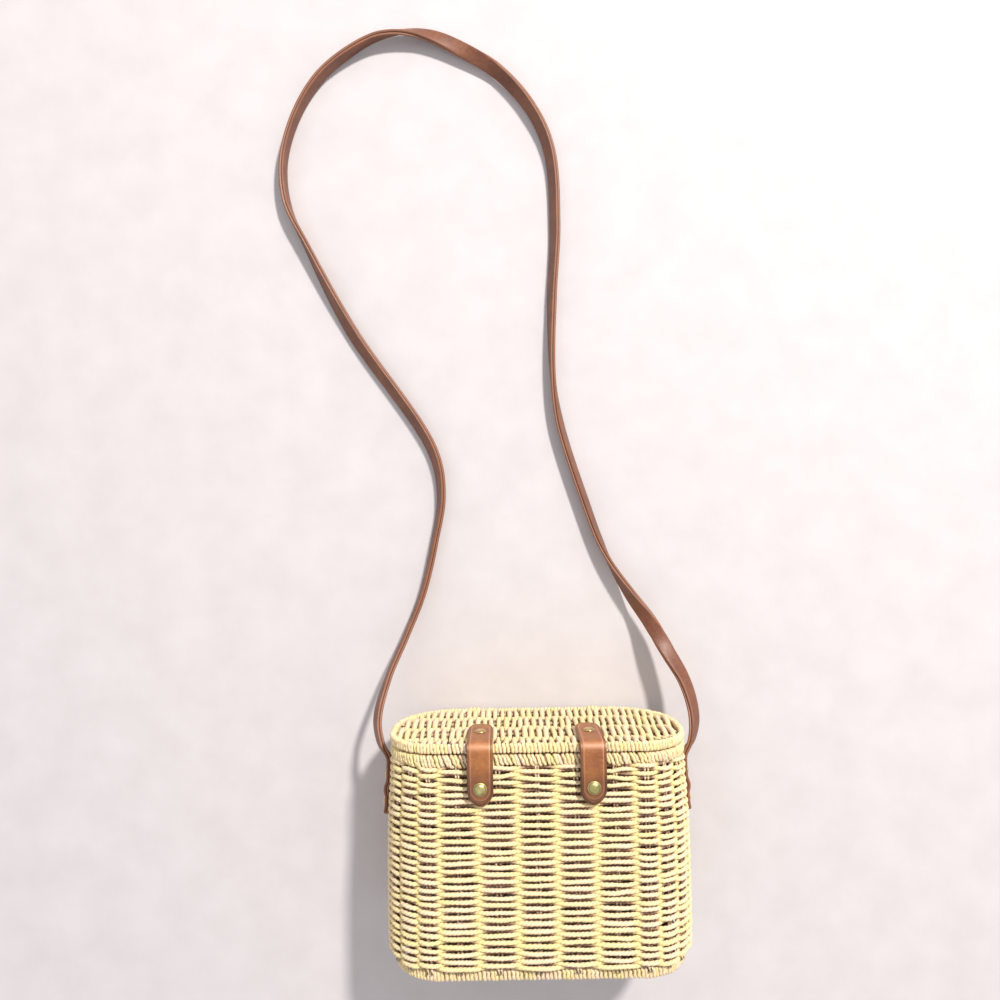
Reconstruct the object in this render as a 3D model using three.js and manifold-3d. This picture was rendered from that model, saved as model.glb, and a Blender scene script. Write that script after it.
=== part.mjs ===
// A small straw basket bag with a flat lid, leather closure tabs and one long leather
// shoulder strap. The bag lies on its back: X runs across it, Y from its base to its lid,
// and Z from its back, which rests on the ground, to its front. All lengths are in mm.
import * as THREE from 'three';
import { mergeVertices } from 'three/addons/utils/BufferGeometryUtils.js';
import Module from 'manifold-3d';

const wasm = await Module();
wasm.setup();

// Basket
const bodyWidth = 222;
const bodyDepth = 104;
const frontCornerRadius = 40;
const backCornerRadius = 50;
const wovenHeight = 140;
const wallThickness = 5;
const ribDepth = 1.2;
const frontStakes = 5;
const frontColumnWidth = 27.4;
const columnShift = -2;
const sideStakes = 9;
const mouthInset = 3.2;
const footInset = 0.5;
const gap = 0.3;

// Rims, border, base and lid
const rimInset = 2.8;
const bodyRimHeight = 8;
const bodyRimWidth = 8;
const lidRimHeight = 7.5;
const lidRimWidth = 7.5;
const borderHeight = 9.2;
const borderWidth = 7;
const borderInset = 4.2;
const basePanelThickness = 4.5;
const baseRecess = 2;
const lidPanelThickness = 5;
const lidRibs = 4;
const lidRibPitch = 26.7;
const lidRibDepth = 1;
const lidPanelDrop = 0.8;

// Hinge loops at the back
const hingeSpacing = 96;
const hingeLoopWidth = 10;
const hingeLoopThickness = 1.2;

// Closure tabs, patches and snaps
const tabSpacing = 78;
const tabShift = -2.2;
const tabWidth = 18;
const tabThickness = 2;
const tabOnLid = 45;
const tabDrop = 41;
const tabBendRadius = 3.5;
const patchThickness = 1.5;
const patchHeight = 26;
const patchBelowTab = 2.5;
const lidRivetFromFront = 24.5;
const snapBelowTop = 29;
const rivetHeadDiameter = 8.4;
const rivetHeadHeight = 1.8;
const capDiameter = 9.5;
const capHeight = 1.9;
const shankDiameter = 3;
const shankClearance = 0.3;
const washerDiameter = 8;
const washerThickness = 0.6;
const flangeThickness = 0.6;

// Shoulder strap
const strapWidth = 11.6;
const strapThickness = 4.2;
const strapEndLength = 36;
const strapEndTop = 22;
const strapBulge = 1.6;
const strapRivetDrops = [29, 49];
const strapRivetHead = 7;
const strapRivetHeight = 1.4;

// Heights along Y. The base is lowest and the heads of the lid's rivets are highest.
const totalHeight = borderHeight + gap + wovenHeight + gap + bodyRimHeight + gap + lidRimHeight
  + gap + tabThickness + gap + rivetHeadHeight;
const baseY = -totalHeight / 2;
const wallFootY = baseY + borderHeight + gap;
const wallTopY = wallFootY + wovenHeight;
const bodyRimY = wallTopY + gap;
const seamY = bodyRimY + bodyRimHeight;
const lidRimY = seamY + gap;
const lidTopY = lidRimY + lidRimHeight;
const lidPanelTopY = lidTopY - lidPanelDrop;
const middleZ = bodyDepth / 2;
const frontZ = bodyDepth;

// The strap's route along its centre line: x, y, z, and its turn from standing on edge.
// At 90 its outer face is up, and at 180 it stands on its other edge.
const strapRoute = [
  [110.7, 51.5, 51, 0],
  [111.2, 55.8, 51, 5],
  [117.3, 65.3, 50.2, 25],
  [120.7, 78.6, 46.5, 38],
  [120.4, 92, 40.5, 42],
  [116, 108.7, 33, 47],
  [106.5, 127, 25, 64],
  [93.4, 151.3, 17, 120],
  [79.3, 172, 12, 149],
  [65, 196, 8, 180],
  [56, 215.5, 6.6, 198],
  [45.4, 245.5, 6.2, 202],
  [25, 313, 6.2, 200],
  [20, 353.5, 6.2, 181],
  [20.2, 413, 6.2, 160],
  [23.6, 473.5, 6.2, 153],
  [20, 534.5, 6.8, 151],
  [5.8, 568.5, 7.6, 154],
  [-21.7, 600, 7.5, 139],
  [-48.2, 617.3, 6.6, 100],
  [-75.4, 629.7, 7.2, 64],
  [-97.4, 633, 8, 34],
  [-119.4, 629.5, 8.4, 12],
  [-144.6, 616, 8.2, 0],
  [-167.6, 596.5, 7.8, -5],
  [-186.5, 567, 6.8, -3],
  [-197.4, 530, 6.2, -2],
  [-195, 495, 6.2, -5],
  [-179.3, 459.5, 6.2, 12],
  [-144.2, 390.5, 6.2, 42],
  [-79.4, 292, 6.2, 33],
  [-72.4, 255.7, 6.2, 23],
  [-78, 218.2, 6.2, 16],
  [-88.3, 175.6, 7.6, 13],
  [-100.8, 143.8, 14, 11],
  [-114.4, 111.8, 27, 13],
  [-121.2, 83, 41.5, 25],
  [-117.2, 65.6, 49.3, 25],
  [-111.2, 56.4, 51, 8],
  [-110.7, 51.5, 51, 0],
];
const strapSteps = 78;

const straw = new THREE.MeshStandardMaterial({ color: 0xeadfa6, roughness: 0.75, metalness: 0 });
const strawDark = new THREE.MeshStandardMaterial({ color: 0xcdbb7c, roughness: 0.8, metalness: 0 });
const leather = new THREE.MeshStandardMaterial({ color: 0xb4713f, roughness: 0.55, metalness: 0 });
const strapLeather = new THREE.MeshStandardMaterial({ color: 0x9c6340, roughness: 0.6, metalness: 0 });
const brass = new THREE.MeshStandardMaterial({ color: 0x9a8a4c, roughness: 0.35, metalness: 1 });

const bag = new THREE.Group();

function addPart(name, geometry, material, parent = bag) {
  const mesh = new THREE.Mesh(geometry, material);
  mesh.name = name;
  parent.add(mesh);
  return mesh;
}

// The basket's outline in plan: straight runs and corner arcs, from the middle of the front
// towards +X. Each faces outwards at an angle from +X and begins at a point or turns about one.
const halfWidthX = bodyWidth / 2;
const halfDepthZ = bodyDepth / 2;
const frontRun = halfWidthX - frontCornerRadius;
const backRun = halfWidthX - backCornerRadius;
const frontTurn = halfDepthZ - frontCornerRadius;
const backTurn = halfDepthZ - backCornerRadius;
const sideRun = bodyDepth - frontCornerRadius - backCornerRadius;
const outlineRuns = [
  { facing: 90, length: frontRun, from: [0, halfDepthZ] },
  { facing: 90, radius: frontCornerRadius, about: [frontRun, frontTurn] },
  { facing: 0, length: sideRun, from: [halfWidthX, frontTurn] },
  { facing: 0, radius: backCornerRadius, about: [backRun, -backTurn] },
  { facing: -90, length: 2 * backRun, from: [backRun, -halfDepthZ] },
  { facing: -90, radius: backCornerRadius, about: [-backRun, -backTurn] },
  { facing: 180, length: sideRun, from: [-halfWidthX, -backTurn] },
  { facing: 180, radius: frontCornerRadius, about: [-frontRun, frontTurn] },
  { facing: 90, length: frontRun, from: [-frontRun, halfDepthZ] },
].map((run) => (run.radius ? { ...run, length: run.radius * Math.PI / 2 } : run));
const perimeter = outlineRuns.reduce((sum, run) => sum + run.length, 0);

// A point on the outline and its outward normal, at a distance along it.
function outlineAt(distance) {
  let left = ((distance % perimeter) + perimeter) % perimeter;
  let index = 0;
  while (index < outlineRuns.length - 1 && left > outlineRuns[index].length) {
    left -= outlineRuns[index].length;
    index += 1;
  }
  const { facing, radius, about, from } = outlineRuns[index];
  const turned = facing * Math.PI / 180 - (radius ? left / radius : 0);
  const normal = [Math.cos(turned), Math.sin(turned)];
  if (radius) {
    return { x: about[0] + radius * normal[0], z: about[1] + radius * normal[1], normal };
  }
  return { x: from[0] + left * normal[1], z: from[1] - left * normal[0], normal };
}

const frontLength = frontStakes * frontColumnWidth;
const sideColumnWidth = (perimeter / 2 - frontLength) / sideStakes;

// The columns between the wall's valleys, front, right, back and left in turn.
function columnList() {
  const columns = [];
  let start = columnShift - frontLength / 2;
  for (const [count, width] of [
    [frontStakes, frontColumnWidth],
    [sideStakes, sideColumnWidth],
    [frontStakes, frontColumnWidth],
    [sideStakes, sideColumnWidth],
  ]) {
    for (let i = 0; i < count; i += 1) {
      columns.push({ middle: start + width / 2, width });
      start += width;
    }
  }
  return columns;
}

// Where the wall's sections have their corners: a flat crest and a valley for each column.
function ribStations() {
  const stations = [];
  for (const { middle, width } of columnList()) {
    for (const [share, valley] of [[-0.47, 1], [-0.31, 0], [0.31, 0], [0.47, 1]]) {
      stations.push({ ...outlineAt(middle + share * width), valley });
    }
  }
  return stations;
}

function plainStations(perColumn) {
  const stations = [];
  for (const { middle, width } of columnList()) {
    for (let i = 0; i < perColumn; i += 1) {
      const share = (i + 0.5) / perColumn - 0.5;
      stations.push({ ...outlineAt(middle + share * width), valley: 0 });
    }
  }
  return stations;
}

function section(stations, inset, y, ribs = 0) {
  return stations.map(({ x, z, normal, valley }) => {
    const depth = inset + ribs * valley;
    return new THREE.Vector3(x - normal[0] * depth, y, middleZ + z - normal[1] * depth);
  });
}

function geometryOf(points, faces) {
  const geometry = new THREE.BufferGeometry();
  geometry.setAttribute('position', new THREE.Float32BufferAttribute(points.flatMap((p) => [p.x, p.y, p.z]), 3));
  geometry.setIndex(faces.flat());
  return geometry;
}

// Closed rings of points joined one to the next, and the last one to the first.
function ringBand(rings) {
  const count = rings[0].length;
  const faces = [];
  rings.forEach((ring, r) => {
    const next = (r + 1) % rings.length;
    for (let i = 0; i < count; i += 1) {
      const j = (i + 1) % count;
      faces.push([r * count + i, r * count + j, next * count + j]);
      faces.push([r * count + i, next * count + j, next * count + i]);
    }
  });
  return geometryOf(rings.flat(), faces);
}

// Rings joined in a stack, with a flat fan closing each end.
function capped(rings) {
  const count = rings[0].length;
  const points = rings.flat();
  const faces = [];
  for (let r = 0; r < rings.length - 1; r += 1) {
    for (let i = 0; i < count; i += 1) {
      const j = (i + 1) % count;
      faces.push([r * count + i, r * count + j, (r + 1) * count + j]);
      faces.push([r * count + i, (r + 1) * count + j, (r + 1) * count + i]);
    }
  }
  const ends = [[0, false], [(rings.length - 1) * count, true]];
  for (const [first, last] of ends) {
    const centre = new THREE.Vector3();
    for (let i = 0; i < count; i += 1) centre.add(points[first + i]);
    centre.divideScalar(count);
    points.push(centre);
    const c = points.length - 1;
    for (let i = 0; i < count; i += 1) {
      const j = (i + 1) % count;
      faces.push(last ? [first + i, first + j, c] : [first + j, first + i, c]);
    }
  }
  return geometryOf(points, faces);
}

function solidOf(geometry) {
  const plain = geometry.clone();
  plain.deleteAttribute('normal');
  plain.deleteAttribute('uv');
  const merged = mergeVertices(plain, 1e-4);
  const mesh = new wasm.Mesh({
    numProp: 3,
    vertProperties: new Float32Array(merged.attributes.position.array),
    triVerts: new Uint32Array(merged.index.array),
  });
  return new wasm.Manifold(mesh);
}

function geometryFrom(solid) {
  const mesh = solid.getMesh();
  const geometry = new THREE.BufferGeometry();
  geometry.setAttribute('position', new THREE.BufferAttribute(new Float32Array(mesh.vertProperties), 3));
  geometry.setIndex(new THREE.BufferAttribute(new Uint32Array(mesh.triVerts), 1));
  return geometry;
}

function cut(geometry, cutters) {
  let solid = solidOf(geometry);
  for (const cutter of cutters) solid = solid.subtract(solidOf(cutter));
  return geometryFrom(solid);
}

function boxAt(sizeX, sizeY, sizeZ, x, y, z) {
  const box = new THREE.BoxGeometry(sizeX, sizeY, sizeZ);
  box.translate(x, y, z);
  return box;
}

// A round bar between two points, for holes.
function barBetween(diameter, from, to) {
  const start = new THREE.Vector3(...from);
  const end = new THREE.Vector3(...to);
  const along = end.clone().sub(start);
  const bar = new THREE.CylinderGeometry(diameter / 2, diameter / 2, along.length(), 16);
  bar.applyQuaternion(new THREE.Quaternion().setFromUnitVectors(new THREE.Vector3(0, 1, 0), along.clone().normalize()));
  const middle = start.add(end).multiplyScalar(0.5);
  bar.translate(middle.x, middle.y, middle.z);
  return bar;
}

// How far the wall stands in from its widest outline, as shares of the woven height.
const wallProfile = [
  [0, footInset],
  [0.06, 0],
  [0.36, 0],
  [0.7, mouthInset * 0.3],
  [0.86, mouthInset * 0.8],
  [1, mouthInset],
];

function wallInset(share) {
  let index = 0;
  while (index < wallProfile.length - 2 && share > wallProfile[index + 1][0]) index += 1;
  const [s0, i0] = wallProfile[index];
  const [s1, i1] = wallProfile[index + 1];
  return i0 + (i1 - i0) * (share - s0) / (s1 - s0);
}

function wallInsetAt(y) {
  return wallInset((y - wallFootY) / wovenHeight);
}

// Wall: ribbed outside, plain inside, open at the top and the bottom.
const hingeXs = [-hingeSpacing / 2, hingeSpacing / 2];
const tabXs = [tabShift - tabSpacing / 2, tabShift + tabSpacing / 2];
const snapY = lidTopY - snapBelowTop;
const lidRivetZ = frontZ - lidRivetFromFront;
const holeDiameter = shankDiameter + 2 * shankClearance;
const strapRivetYs = strapRivetDrops.map((drop) => seamY - drop);

const ribbed = ribStations();
const wallRings = [
  ...wallProfile.map(([share, inset]) => section(ribbed, inset, wallFootY + share * wovenHeight, ribDepth)),
  ...[...wallProfile].reverse()
    .map(([share, inset]) => section(ribbed, inset + wallThickness, wallFootY + share * wovenHeight)),
];
const wallCutters = [];
for (const x of tabXs) {
  wallCutters.push(barBetween(holeDiameter, [x, snapY, frontZ - 20], [x, snapY, frontZ + 20]));
}
for (const y of strapRivetYs) {
  for (const side of [-1, 1]) {
    wallCutters.push(barBetween(holeDiameter, [side * (bodyWidth / 2 - 20), y, middleZ], [side * (bodyWidth / 2 + 20), y, middleZ]));
  }
}
addPart('basket_wall', cut(ringBand(wallRings), wallCutters), straw);

// How near to the middle the wall's inner face comes on one side, over a washer's own space.
function washerSeatX(side, y) {
  const half = washerDiameter / 2;
  let least = bodyWidth / 2;
  for (const level of [y - half, y + half]) {
    const ring = section(ribbed, wallInsetAt(level) + wallThickness, level);
    ring.forEach((a, i) => {
      const b = ring[(i + 1) % ring.length];
      const low = Math.max(Math.min(a.z, b.z), middleZ - half);
      const high = Math.min(Math.max(a.z, b.z), middleZ + half);
      if (side * a.x < 0 || low > high) return;
      for (const z of [low, high]) {
        const share = a.z === b.z ? 0 : (z - a.z) / (b.z - a.z);
        least = Math.min(least, side * (a.x + (b.x - a.x) * share));
      }
    });
  }
  return least;
}

// A band with a rounded section that follows the basket's outline.
function roundedBand(stations, inset, y, width, height) {
  const corner = Math.min(width, height) * 0.29;
  const profile = [
    [0, corner],
    [0, height - corner],
    [corner, height],
    [width - corner, height],
    [width, height - corner],
    [width, corner],
    [width - corner, 0],
    [corner, 0],
  ];
  return ringBand(profile.map(([depth, rise]) => section(stations, inset + depth, y + rise)));
}

// Rims, with room cut at the back for the hinge loops that go round both.
const plain = plainStations(2);
const loopOuterZ = rimInset;
const loopInnerZ = rimInset + lidRimWidth;
const loopFootY = bodyRimY;
const loopTopY = lidTopY;
const loopRoom = hingeLoopThickness + gap;
function loopCutters(rimY, outsideY) {
  const cutters = [];
  for (const x of hingeXs) {
    for (const [sizeY, sizeZ, y, z] of [
      [4 * bodyRimHeight, 2 * loopRoom, rimY, loopOuterZ],
      [4 * bodyRimHeight, 2 * loopRoom, rimY, loopInnerZ],
      [2 * loopRoom, 4 * bodyRimWidth, outsideY, loopInnerZ],
    ]) {
      cutters.push(boxAt(hingeLoopWidth + 2 * gap, sizeY, sizeZ, x, y, z));
    }
  }
  return cutters;
}
const bodyBand = roundedBand(plain, rimInset, bodyRimY, bodyRimWidth, bodyRimHeight);
const lidBand = roundedBand(plain, rimInset, lidRimY, lidRimWidth, lidRimHeight);
addPart('body_rim', cut(bodyBand, loopCutters(bodyRimY, loopFootY)), straw);
addPart('lid_rim', cut(lidBand, loopCutters(lidRimY, loopTopY)), straw);
addPart('base_border', roundedBand(plain, borderInset, baseY, borderWidth, borderHeight), strawDark);

const baseOutline = borderInset + borderWidth + gap;
addPart('basket_base', capped([
  section(plain, baseOutline, baseY + baseRecess),
  section(plain, baseOutline, baseY + baseRecess + basePanelThickness),
]), strawDark);

// Lid panel: a slab with shallow ribs from side to side.
const panelInset = rimInset + lidRimWidth + gap;
const slab = capped([
  section(plain, panelInset, lidPanelTopY - lidPanelThickness),
  section(plain, panelInset, lidPanelTopY),
]);
const waveFootY = lidPanelTopY - lidPanelThickness - lidRibDepth;
const waveReach = bodyDepth;
const wave = new THREE.Shape();
wave.moveTo(-waveReach, waveFootY);
wave.lineTo(waveReach, waveFootY);
wave.lineTo(waveReach, lidPanelTopY - lidRibDepth);
for (let rib = lidRibs - 1; rib >= 0; rib -= 1) {
  const across = (rib - (lidRibs - 1) / 2) * lidRibPitch;
  wave.lineTo(across + lidRibPitch * 0.47, lidPanelTopY - lidRibDepth);
  wave.lineTo(across + lidRibPitch * 0.28, lidPanelTopY);
  wave.lineTo(across - lidRibPitch * 0.28, lidPanelTopY);
  wave.lineTo(across - lidRibPitch * 0.47, lidPanelTopY - lidRibDepth);
}
wave.lineTo(-waveReach, lidPanelTopY - lidRibDepth);
const waveBlock = new THREE.ExtrudeGeometry(wave, { depth: bodyWidth, steps: 1, bevelEnabled: false });
waveBlock.translate(0, 0, -bodyWidth / 2);
waveBlock.rotateY(Math.PI / 2);
waveBlock.translate(0, 0, middleZ);
const ribbedSlab = geometryFrom(solidOf(slab).intersect(solidOf(waveBlock)));
const panelCutters = [];
for (const x of tabXs) {
  panelCutters.push(barBetween(holeDiameter, [x, lidPanelTopY - 20, lidRivetZ], [x, lidPanelTopY + 20, lidRivetZ]));
}
addPart('lid_panel', cut(ribbedSlab, panelCutters), straw);

// Hinge loops: flat bands round both rims at the back, let into the rims.
function loopPath(shape, inset, c) {
  const z0 = loopOuterZ + inset;
  const z1 = loopInnerZ - inset;
  const y0 = loopFootY + inset;
  const y1 = loopTopY - inset;
  shape.moveTo(-(z0 + c), y0);
  shape.lineTo(-z0, y0 + c);
  shape.lineTo(-z0, y1 - c);
  shape.lineTo(-(z0 + c), y1);
  shape.lineTo(-(z1 - c), y1);
  shape.lineTo(-z1, y1 - c);
  shape.lineTo(-z1, y0 + c);
  shape.lineTo(-(z1 - c), y0);
  shape.closePath();
  return shape;
}
for (const [name, x] of [['hinge_loop_left', hingeXs[0]], ['hinge_loop_right', hingeXs[1]]]) {
  const shape = loopPath(new THREE.Shape(), 0, 1.2);
  shape.holes.push(loopPath(new THREE.Path(), hingeLoopThickness, 0.3));
  const loop = new THREE.ExtrudeGeometry(shape, { depth: hingeLoopWidth, steps: 1, bevelEnabled: false });
  loop.translate(0, 0, -hingeLoopWidth / 2);
  loop.rotateY(Math.PI / 2);
  loop.translate(x, 0, 0);
  addPart(name, loop, strawDark);
}

// A flat strip swept through a list of steps. Each step has a point on the strip's inner
// face, the direction of its thickness and its width there.
function strip(steps, thickness) {
  const rings = steps.map(({ y, z, out, width }) => [
    new THREE.Vector3(width / 2, y, z),
    new THREE.Vector3(width / 2, y + out[0] * thickness, z + out[1] * thickness),
    new THREE.Vector3(-width / 2, y + out[0] * thickness, z + out[1] * thickness),
    new THREE.Vector3(-width / 2, y, z),
  ]);
  return capped(rings);
}

function roundedEnd(width, length, count) {
  const steps = [];
  for (let i = 0; i <= count; i += 1) {
    const angle = (i / count) * Math.PI / 2;
    steps.push({ along: length * (1 - Math.cos(angle)), width: width * (0.3 + 0.7 * Math.sin(angle)) });
  }
  return steps;
}

// Closure tab: flat on the lid, bent over its front edge and hanging down the front.
const tabInnerY = lidTopY + gap;
const tabEndY = lidTopY + tabThickness - tabDrop;
const patchFootY = tabEndY - patchBelowTab;
const patchBackZ = frontZ - wallInsetAt(patchFootY) + gap;
const studFaceZ = patchBackZ + patchThickness + gap;
const tabInnerZ = studFaceZ + flangeThickness + gap + washerThickness + gap;
const tabSteps = [];
for (const { along, width } of roundedEnd(tabWidth, 4, 4)) {
  tabSteps.push({ y: tabInnerY, z: frontZ - tabOnLid + along, out: [1, 0], width });
}
for (let i = 0; i <= 6; i += 1) {
  const angle = (i / 6) * Math.PI / 2;
  tabSteps.push({
    y: tabInnerY - tabBendRadius + tabBendRadius * Math.cos(angle),
    z: tabInnerZ - tabBendRadius + tabBendRadius * Math.sin(angle),
    out: [Math.cos(angle), Math.sin(angle)],
    width: tabWidth,
  });
}
for (const { along, width } of roundedEnd(tabWidth, tabWidth / 2, 6).reverse()) {
  tabSteps.push({ y: tabEndY + along, z: tabInnerZ, out: [0, 1], width });
}
const patchSteps = roundedEnd(tabWidth, tabWidth * 0.45, 5)
  .map(({ along, width }) => ({ y: patchFootY + along, z: patchBackZ, out: [0, 1], width }));
patchSteps.push({ y: patchFootY + patchHeight, z: patchBackZ, out: [0, 1], width: tabWidth });
patchSteps.reverse();

// A domed head on a shank, with a washer spread at the far end, turned about Y and
// pointing up from the face at zero.
function rivetGeometry(headDiameter, headHeight, reach) {
  const profile = [
    [0, headHeight],
    [headDiameter * 0.2, headHeight * 0.93],
    [headDiameter * 0.36, headHeight * 0.68],
    [headDiameter * 0.46, headHeight * 0.35],
    [headDiameter / 2, 0.05],
    [headDiameter / 2, 0],
    [shankDiameter / 2, 0],
    [shankDiameter / 2, -reach],
    [washerDiameter / 2, -reach],
    [washerDiameter / 2, -reach - washerThickness],
    [0, -reach - washerThickness],
  ];
  return new THREE.LatheGeometry(profile.map(([r, y]) => new THREE.Vector2(r, y)).reverse(), 12);
}

const tabNames = [['left', tabXs[0]], ['right', tabXs[1]]];
for (const [side, x] of tabNames) {
  const lidHole = barBetween(holeDiameter, [0, lidTopY - 20, lidRivetZ], [0, lidTopY + 20, lidRivetZ]);
  const snapHole = barBetween(holeDiameter, [0, snapY, frontZ - 20], [0, snapY, frontZ + 20]);
  const tab = addPart(`closure_tab_${side}`, cut(strip(tabSteps, tabThickness), [lidHole, snapHole]), leather);
  tab.position.x = x;

  const patch = addPart(`snap_patch_${side}`, cut(strip(patchSteps, patchThickness), [snapHole]), leather);
  patch.position.x = x;

  const lidStack = lidTopY + gap + tabThickness + gap - (lidPanelTopY - lidPanelThickness) + gap;
  const lidRivet = addPart(`tab_rivet_${side}`, rivetGeometry(rivetHeadDiameter, rivetHeadHeight, lidStack), brass);
  lidRivet.position.set(x, lidTopY + gap + tabThickness + gap, lidRivetZ);

  const cap = addPart(`snap_cap_${side}`, rivetGeometry(capDiameter, capHeight, tabThickness + 2 * gap), brass);
  cap.position.set(x, snapY, tabInnerZ + tabThickness + gap);
  cap.rotation.x = Math.PI / 2;

  const wallInnerZ = frontZ - wallThickness - wallInsetAt(snapY);
  const studStack = studFaceZ - (wallInnerZ - gap);
  const stud = addPart(`snap_stud_${side}`, rivetGeometry(washerDiameter, flangeThickness, studStack), brass);
  stud.position.set(x, snapY, studFaceZ);
  stud.rotation.x = Math.PI / 2;
}

// Strap ends: riveted to the outsides of both ends. They follow the wall and bulge between rivets.
const strapTopY = seamY - strapEndTop;
function strapInnerX(y) {
  return bodyWidth / 2 - wallInsetAt(y) + gap;
}
const endShares = [
  [0, 0.9], [0.06, 0.5], [0.12, 0.1], [0.17, 0], [0.38, 0], [0.44, 0.45], [0.49, 0.95],
  [0.57, 0.95], [0.62, 0.45], [0.67, 0], [0.89, 0], [1, 0],
];
function strapEndGeometry() {
  const rings = [...endShares].reverse().map(([share, bulge]) => {
    const y = strapTopY - strapEndLength * (1 - share);
    const x = strapInnerX(y) + bulge * strapBulge;
    const half = strapWidth / 2;
    const bevel = strapThickness * 0.25;
    return [
      new THREE.Vector3(x, y, middleZ - half + bevel),
      new THREE.Vector3(x + bevel, y, middleZ - half),
      new THREE.Vector3(x + strapThickness - bevel, y, middleZ - half),
      new THREE.Vector3(x + strapThickness, y, middleZ - half + bevel),
      new THREE.Vector3(x + strapThickness, y, middleZ + half - bevel),
      new THREE.Vector3(x + strapThickness - bevel, y, middleZ + half),
      new THREE.Vector3(x + bevel, y, middleZ + half),
      new THREE.Vector3(x, y, middleZ + half - bevel),
    ];
  });
  return capped(rings);
}
const endHoles = strapRivetYs.map((y) => barBetween(
  holeDiameter,
  [bodyWidth / 2 - 20, y, middleZ],
  [bodyWidth / 2 + 20, y, middleZ],
));
const rightEnd = cut(strapEndGeometry(), endHoles);
for (const [side, sign] of [['left', -1], ['right', 1]]) {
  const end = addPart(`strap_end_${side}`, rightEnd.clone(), strapLeather);
  if (sign < 0) {
    end.position.z = 2 * middleZ;
    end.rotation.y = Math.PI;
  }
  strapRivetYs.forEach((y, i) => {
    const headX = strapInnerX(y) + strapThickness + gap;
    const rivet = rivetGeometry(strapRivetHead, strapRivetHeight, headX - washerSeatX(sign, y) + gap);
    const placed = addPart(`strap_rivet_${side}_${i === 0 ? 'upper' : 'lower'}`, rivet, brass);
    placed.position.set(sign * headX, y, middleZ);
    placed.rotation.z = -sign * Math.PI / 2;
  });
}

// Shoulder strap: one flat band with rounded edges that turns as it goes.
class StrapCurve extends THREE.CatmullRomCurve3 {
  computeFrenetFrames(segments) {
    const tangents = [];
    const normals = [];
    const binormals = [];
    const lastPoint = strapRoute.length - 1;
    for (let i = 0; i <= segments; i += 1) {
      const share = i / segments;
      const tangent = this.getTangentAt(share);
      const at = this.getUtoTmapping(share) * lastPoint;
      const index = Math.min(Math.floor(at), lastPoint - 1);
      const blend = at - index;
      const lean = strapRoute[index][3] * (1 - blend) + strapRoute[index + 1][3] * blend;
      const angle = lean * Math.PI / 180;
      const inner = new THREE.Vector3(0, 0, 1).cross(tangent).normalize();
      const upright = tangent.clone().cross(inner).normalize();
      const width = upright.clone().multiplyScalar(Math.cos(angle)).addScaledVector(inner, Math.sin(angle));
      tangents.push(tangent);
      normals.push(width);
      binormals.push(tangent.clone().cross(width).normalize());
    }
    return { tangents, normals, binormals };
  }
}
const strapCurve = new StrapCurve(strapRoute.map(([x, y, z]) => new THREE.Vector3(x, y, z)), false, 'centripetal');
strapCurve.arcLengthDivisions = 2000;
const halfWidth = strapWidth / 2;
const halfThickness = strapThickness / 2;
const edge = strapThickness * 0.25;
const strapSection = new THREE.Shape([
  new THREE.Vector2(-halfWidth, -halfThickness + edge),
  new THREE.Vector2(-halfWidth + edge, -halfThickness),
  new THREE.Vector2(halfWidth - edge, -halfThickness),
  new THREE.Vector2(halfWidth, -halfThickness + edge),
  new THREE.Vector2(halfWidth, halfThickness - edge),
  new THREE.Vector2(halfWidth - edge, halfThickness),
  new THREE.Vector2(-halfWidth + edge, halfThickness),
  new THREE.Vector2(-halfWidth, halfThickness - edge),
]);
addPart('shoulder_strap', new THREE.ExtrudeGeometry(strapSection, {
  steps: strapSteps,
  bevelEnabled: false,
  extrudePath: strapCurve,
}), strapLeather);

export default bag;
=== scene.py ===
import math
from collections import namedtuple

import bpy
import numpy as np
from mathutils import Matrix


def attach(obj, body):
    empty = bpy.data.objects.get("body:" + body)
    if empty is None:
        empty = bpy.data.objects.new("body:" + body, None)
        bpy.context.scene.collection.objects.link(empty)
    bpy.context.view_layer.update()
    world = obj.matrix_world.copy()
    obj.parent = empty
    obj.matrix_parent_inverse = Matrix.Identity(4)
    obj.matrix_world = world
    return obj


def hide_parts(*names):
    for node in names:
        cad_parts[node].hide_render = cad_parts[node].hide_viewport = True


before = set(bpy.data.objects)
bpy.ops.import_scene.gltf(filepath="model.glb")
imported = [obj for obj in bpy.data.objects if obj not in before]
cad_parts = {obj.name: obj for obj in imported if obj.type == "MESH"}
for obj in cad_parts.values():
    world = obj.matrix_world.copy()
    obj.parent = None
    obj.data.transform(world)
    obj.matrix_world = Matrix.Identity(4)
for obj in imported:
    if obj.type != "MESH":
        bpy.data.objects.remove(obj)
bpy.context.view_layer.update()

MM = 0.001
rng = np.random.default_rng(7)

AXIS_X = (1.0, 0.0, 0.0)
AXIS_Y = (0.0, 1.0, 0.0)
AXIS_Z = (0.0, 0.0, 1.0)

# Sizes in millimetres, as in the solids: the basket
BODY_WIDTH = 222.0
BODY_DEPTH = 104.0
FRONT_CORNER = 40.0
BACK_CORNER = 50.0
WOVEN_HEIGHT = 140.0
GAP = 0.3
BASE_Y = -85.0
BORDER_HEIGHT = 9.2
BORDER_WIDTH = 7.0
BORDER_INSET = 4.2
FOOT_INSET = 0.5
MOUTH_INSET = 3.2
WALL_THICKNESS = 5.0
FOOT_Y = BASE_Y + BORDER_HEIGHT + GAP
RIM_Y = FOOT_Y + WOVEN_HEIGHT + GAP
RIM_HEIGHT = 8.0
RIM_WIDTH = 8.0
RIM_INSET = 2.8
SEAM_Y = RIM_Y + RIM_HEIGHT
LID_RIM_Y = SEAM_Y + GAP
LID_RIM_HEIGHT = 7.5
LID_RIM_WIDTH = 7.5
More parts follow.
